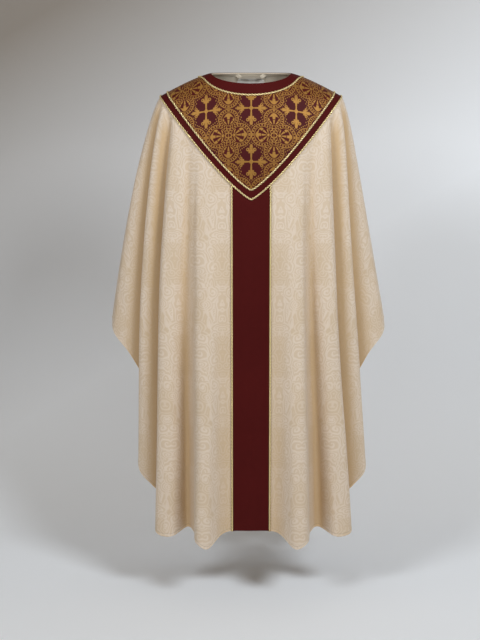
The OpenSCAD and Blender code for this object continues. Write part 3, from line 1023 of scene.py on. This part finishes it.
def lay_cord(name, node, path, out):
    """A twisted cord along a path: an ellipse carried along it, whose radius swells twice a
    turn by a cosine that runs round with the length, so the strands show as slanted beads."""
    half_w = BRAID_W * MM / 2
    half_h = half_w * CORD_FLAT
    run = np.concatenate([[0], np.cumsum(np.linalg.norm(np.diff(path, axis=0), axis=1))])
    along = unit(np.gradient(path, axis=0))
    across = unit(np.cross(out, along))
    turn = np.linspace(0, 2 * math.pi, CORD_RING + 1)
    phase = 2 * turn[None, :] - 2 * math.pi * run[:, None] / settings().cord_pitch
    swell = CORD_ROUND * (1 + CORD_SWELL * np.cos(phase))
    points = (path[:, None] + across[:, None] * (half_w * swell * np.cos(turn))[..., None]
              + out[:, None] * (half_h * (0.9 + swell * np.sin(turn)))[..., None])
    n = len(path)
    i, j = np.meshgrid(np.arange(n - 1), np.arange(CORD_RING), indexing="ij")
    k = (j + 1) % CORD_RING
    quads = np.stack([i * CORD_RING + j, (i + 1) * CORD_RING + j, (i + 1) * CORD_RING + k,
                      i * CORD_RING + k], -1).reshape(-1, 4)[:, ::-1]
    uv = np.stack([np.stack([run[a], turn[b]], -1)
                   for a, b in ((i, j + 1), (i + 1, j + 1), (i + 1, j), (i, j))], 2).reshape(-1, 2)
    caps = [list(range(CORD_RING)), list(range((n - 1) * CORD_RING, n * CORD_RING))[::-1]]
    uv = np.concatenate([uv, np.zeros((2 * CORD_RING, 2))])
    verts = points[:, :-1].reshape(-1, 3)
    piece = make_piece(name, verts, quads.tolist() + caps, uv, [node],
                       finish_of("cord"))
    # The place on the twist, read by the cord's painted groove shade, roughness and metallic
    mark_points(piece, "turn", np.cos(phase[:, :-1]).ravel())


def cord_along(name, node, place, start, end):
    """A cord along the line place(t, height), from start to end, in even steps."""
    t = np.linspace(start, end, 1500)
    path = place(t, BRAID_Z)
    length = np.linalg.norm(np.diff(path, axis=0), axis=1).sum()
    t, _ = even_steps(path, t, int(length / settings().cord_pitch * CORD_STEPS))
    path = place(t, BRAID_Z)
    lay_cord(name, node, path, unit(place(t, BRAID_Z + 1.0) - path))


def build_cords():
    """Gold cords along the neck band, both edges of the V and both edges of the orphrey."""
    half = 0.5 * BRAID_W
    for face in (FRONT, BACK):
        side = FACE_NAME[face]
        for name, node, row in (("neck", "neck_braid", 1 - half / BAND_W),
                                ("inner", "v_inner_braid", 2 + half / BORDER_W),
                                ("outer", "v_outer_braid", 3 - half / BORDER_W)):
            cord_along(f"cord_{name}_{side}", f"{node}_{side}",
                       lambda v, h: signed_cloth(face, v, np.full_like(v, row), h), -SEAM, SEAM)
        for s in (LEFT, RIGHT):
            cord_along(f"cord_strip_{side}_{SIDE_NAME[s]}",
                       f"orphrey_braid_{side}_{SIDE_NAME[s]}",
                       lambda r, h: cloth(face, s, np.full_like(r, ORPHREY_COL), r, h),
                       V_ROW, HEM_ROW)


# ---- Stage ----
FLOOR_Z = -1.48
WALL_Y = 0.85
CAMERA_PLACE = (-0.031, -4.6, 0.12)
CAMERA_TILT = 10.2
CAMERA_LENS = 90.45
CURVE_R = 0.5
# Share of the backdrop's colour left in its painted shade at the dark upper corner
CORNER_SHADE_SHARE = (0.285, 0.245, 0.205)
LAMP_SIZE = 1.3
KEY_PLACE, KEY_TARGET, KEY_COLOUR = (1.85, -2.6, 1.6), (0, 0, 1.5), (0.9, 0.95, 1.0)
FILL_PLACE, FILL_TARGET, FILL_COLOUR = (-2.1, -2.6, 1.4), (0, 0, 1.4), (0.92, 0.96, 1.0)
SKY_COLOUR = (1.0, 0.82, 0.58, 1.0)


def stage_material(name, colour):
    """Pale paint with painted shade that darkens it towards one upper corner, and is clear when
    seen from behind.
    """
    material, tree, shader = new_material(name, Roughness=0.9, Specular_IOR_Level=0.15)
    x, _, z = split(tree, object_of(tree))
    # Painted shade: darker towards the upper left, lighter lower down and to the right
    place = (x * 0.42 - z * 0.75 + 0.42).clamped()
    plug(tree, mix_colour(tree, place, solid_colour(colour, CORNER_SHADE_SHARE), solid_colour(colour)),
         shader.inputs["Base Color"])
    output = next(n for n in tree.nodes if n.type == "OUTPUT_MATERIAL")
    behind = tree.nodes.new("ShaderNodeNewGeometry").outputs["Backfacing"]
    clear = tree.nodes.new("ShaderNodeBsdfTransparent")
    mixer = tree.nodes.new("ShaderNodeMixShader")
    for value, socket in zip((behind, shader.outputs[0], clear.outputs[0]), mixer.inputs):
        plug(tree, value, socket)
    tree.links.new(mixer.outputs[0], output.inputs[0])
    return material


def add_lamp(name, place, target, power, colour):
    """A soft round lamp at a place, turned to face a target."""
    data = bpy.data.lights.new(name, "AREA")
    data.shape, data.size, data.energy, data.color = "DISK", LAMP_SIZE, power, colour
    lamp = bpy.data.objects.new(name, data)
    lamp.location = place
    aim = np.asarray(target, float) - np.asarray(place, float)
    yaw = math.atan2(aim[0], -aim[1])
    pitch = math.atan2(math.hypot(aim[0], aim[1]), -aim[2])
    lamp.rotation_euler = (pitch, 0, yaw + math.pi)
    bpy.context.scene.collection.objects.link(lamp)


def build_stage():
    """A pale floor that curves up into a wall, soft lamps, a dim sky, and the camera."""
    s = settings()
    scene = bpy.context.scene
    turn = np.linspace(0, math.pi / 2, 12)
    bend = np.stack([WALL_Y - CURVE_R + CURVE_R * np.sin(turn),
                     FLOOR_Z + CURVE_R * (1 - np.cos(turn))], -1)
    profile = np.concatenate([[[-8.0, FLOOR_Z]], bend, [[WALL_Y, 3.0]]])
    wide = np.array([-6.0, 6.0])
    verts = np.concatenate([np.stack([np.full(len(profile), x), *profile.T], -1) for x in wide])
    n = len(profile)
    faces = [[i, i + n, i + n + 1, i + 1] for i in range(n - 1)]
    mesh = bpy.data.meshes.new("backdrop")
    mesh.from_pydata(verts.tolist(), [], faces)
    mesh.polygons.foreach_set("use_smooth", np.ones(len(faces), bool))
    mesh.materials.append(stage_material("backdrop paint", s.backdrop))
    backdrop = bpy.data.objects.new("backdrop", mesh)
    scene.collection.objects.link(backdrop)

    add_lamp("key lamp", KEY_PLACE, KEY_TARGET, s.key_power, KEY_COLOUR)
    add_lamp("fill lamp", FILL_PLACE, FILL_TARGET, s.fill_power, FILL_COLOUR)
    world = bpy.data.worlds.new("sky")
    world.use_nodes = True
    sky = world.node_tree.nodes["Background"]
    sky.inputs[0].default_value = SKY_COLOUR
    sky.inputs[1].default_value = s.sky_power
    scene.world = world
    scene.view_settings.view_transform = "Standard"

    data = bpy.data.cameras.new("camera")
    data.lens, data.sensor_width, data.sensor_fit = CAMERA_LENS, 36.0, "AUTO"
    data.clip_start, data.clip_end = 0.1, 50.0
    camera = bpy.data.objects.new("camera", data)
    camera.location = CAMERA_PLACE
    camera.rotation_euler = (math.radians(90 - CAMERA_TILT), 0, 0)
    scene.collection.objects.link(camera)
    scene.camera = camera


# ---- Add-on ----
class ChasubleSettings(PropertyGroup):
    """Sizes and colours that a user may want to change."""

    crease_depth: FloatProperty(
        name="Crease depth", description="Height of the fine creases below the V",
        default=0.0016, min=0.0, max=0.003, unit="LENGTH")
    cord_pitch: FloatProperty(
        name="Cord pitch", description="Distance from one bead of the gold cord to the next",
        default=0.0092, min=0.004, max=0.012, unit="LENGTH")
    ivory: FloatVectorProperty(
        name="Damask", description="Colour of the damask's raised lines", subtype="COLOR",
        default=(0.72, 0.60, 0.485), min=0.0, max=1.0)
    satin: FloatVectorProperty(
        name="Satin", description="Colour of the band, V and orphrey", subtype="COLOR",
        default=(0.072, 0.0062, 0.0058), min=0.0, max=1.0)
    brocade_gold: FloatVectorProperty(
        name="Brocade gold", description="Colour of the brocade's gold thread", subtype="COLOR",
        default=(0.375, 0.188, 0.042), min=0.0, max=1.0)
    cord_gold: FloatVectorProperty(
        name="Cord gold", description="Colour of the gold cord", subtype="COLOR",
        default=(1.0, 0.83, 0.42), min=0.0, max=1.0)
    lining: FloatVectorProperty(
        name="Linings", description="Colour of the facings and tapes", subtype="COLOR",
        default=(0.66, 0.58, 0.46), min=0.0, max=1.0)
    backdrop: FloatVectorProperty(
        name="Backdrop", description="Colour of the floor and the wall", subtype="COLOR",
        default=(0.88, 0.905, 0.94), min=0.0, max=1.0)
    key_power: FloatProperty(
        name="Key lamp", description="Power of the main lamp", default=104.0, min=0.0,
        unit="POWER")
    fill_power: FloatProperty(
        name="Fill lamp", description="Power of the lamp on the other side", default=70.0,
        min=0.0, unit="POWER")
    sky_power: FloatProperty(
        name="Sky", description="Strength of the light from all round", default=0.19, min=0.0)


def settings():
    return bpy.context.scene.chasuble


class CHASUBLE_OT_stage(Operator):
    """Sets out the floor, the wall, the lamps and the camera"""
    bl_idname = "chasuble.stage"
    bl_label = "Stage"

    def execute(self, context):
        build_stage()
        return {"FINISHED"}


class CHASUBLE_OT_panels(Operator):
    """Cuts and hangs the four half panels of damask"""
    bl_idname = "chasuble.panels"
    bl_label = "Damask panels"

    def execute(self, context):
        for face in (FRONT, BACK):
            for side in (LEFT, RIGHT):
                build_panel(face, side)
        return {"FINISHED"}


class CHASUBLE_OT_yokes(Operator):
    """Sews the brocade yokes, the neck bands and the arms of the V"""
    bl_idname = "chasuble.yokes"
    bl_label = "Yokes"

    def execute(self, context):
        for face in (FRONT, BACK):
            build_yoke(face)
        return {"FINISHED"}


class CHASUBLE_OT_orphreys(Operator):
    """Sews the satin orphreys down the front and the back"""
    bl_idname = "chasuble.orphreys"
    bl_label = "Orphreys"

    def execute(self, context):
        for face in (FRONT, BACK):
            build_orphrey(face)
        return {"FINISHED"}


class CHASUBLE_OT_linings(Operator):
    """Sews in the facings, tapes, label and hanging loop"""
    bl_idname = "chasuble.linings"
    bl_label = "Linings"

    def execute(self, context):
        build_linings()
        return {"FINISHED"}


class CHASUBLE_OT_cords(Operator):
    """Lays the gold cords along every edge"""
    bl_idname = "chasuble.cords"
    bl_label = "Gold cords"

    def execute(self, context):
        build_cords()
        return {"FINISHED"}


class CHASUBLE_PT_panel(Panel):
    """Lists the sizes, the colours and the steps of making the chasuble"""
    bl_idname = "CHASUBLE_PT_panel"
    bl_label = "Chasuble"
    bl_space_type = "VIEW_3D"
    bl_region_type = "UI"
    bl_category = "Chasuble"

    def draw(self, context):
        column = self.layout.column()
        for name in ChasubleSettings.__annotations__:
            column.prop(context.scene.chasuble, name)
        for step in STEPS:
            column.operator(step.bl_idname)


STEPS = (CHASUBLE_OT_stage, CHASUBLE_OT_panels, CHASUBLE_OT_yokes, CHASUBLE_OT_orphreys,
         CHASUBLE_OT_linings, CHASUBLE_OT_cords)
CLASSES = (ChasubleSettings, *STEPS, CHASUBLE_PT_panel)


def register():
    for cls in CLASSES:
        bpy.utils.register_class(cls)
    bpy.types.Scene.chasuble = PointerProperty(type=ChasubleSettings)


def unregister():
    del bpy.types.Scene.chasuble
    for cls in reversed(CLASSES):
        bpy.utils.unregister_class(cls)


def main():
    register()
    for step in STEPS:
        area, name = step.bl_idname.split(".")
        getattr(getattr(bpy.ops, area), name)()


if __name__ == "__main__":
    main()
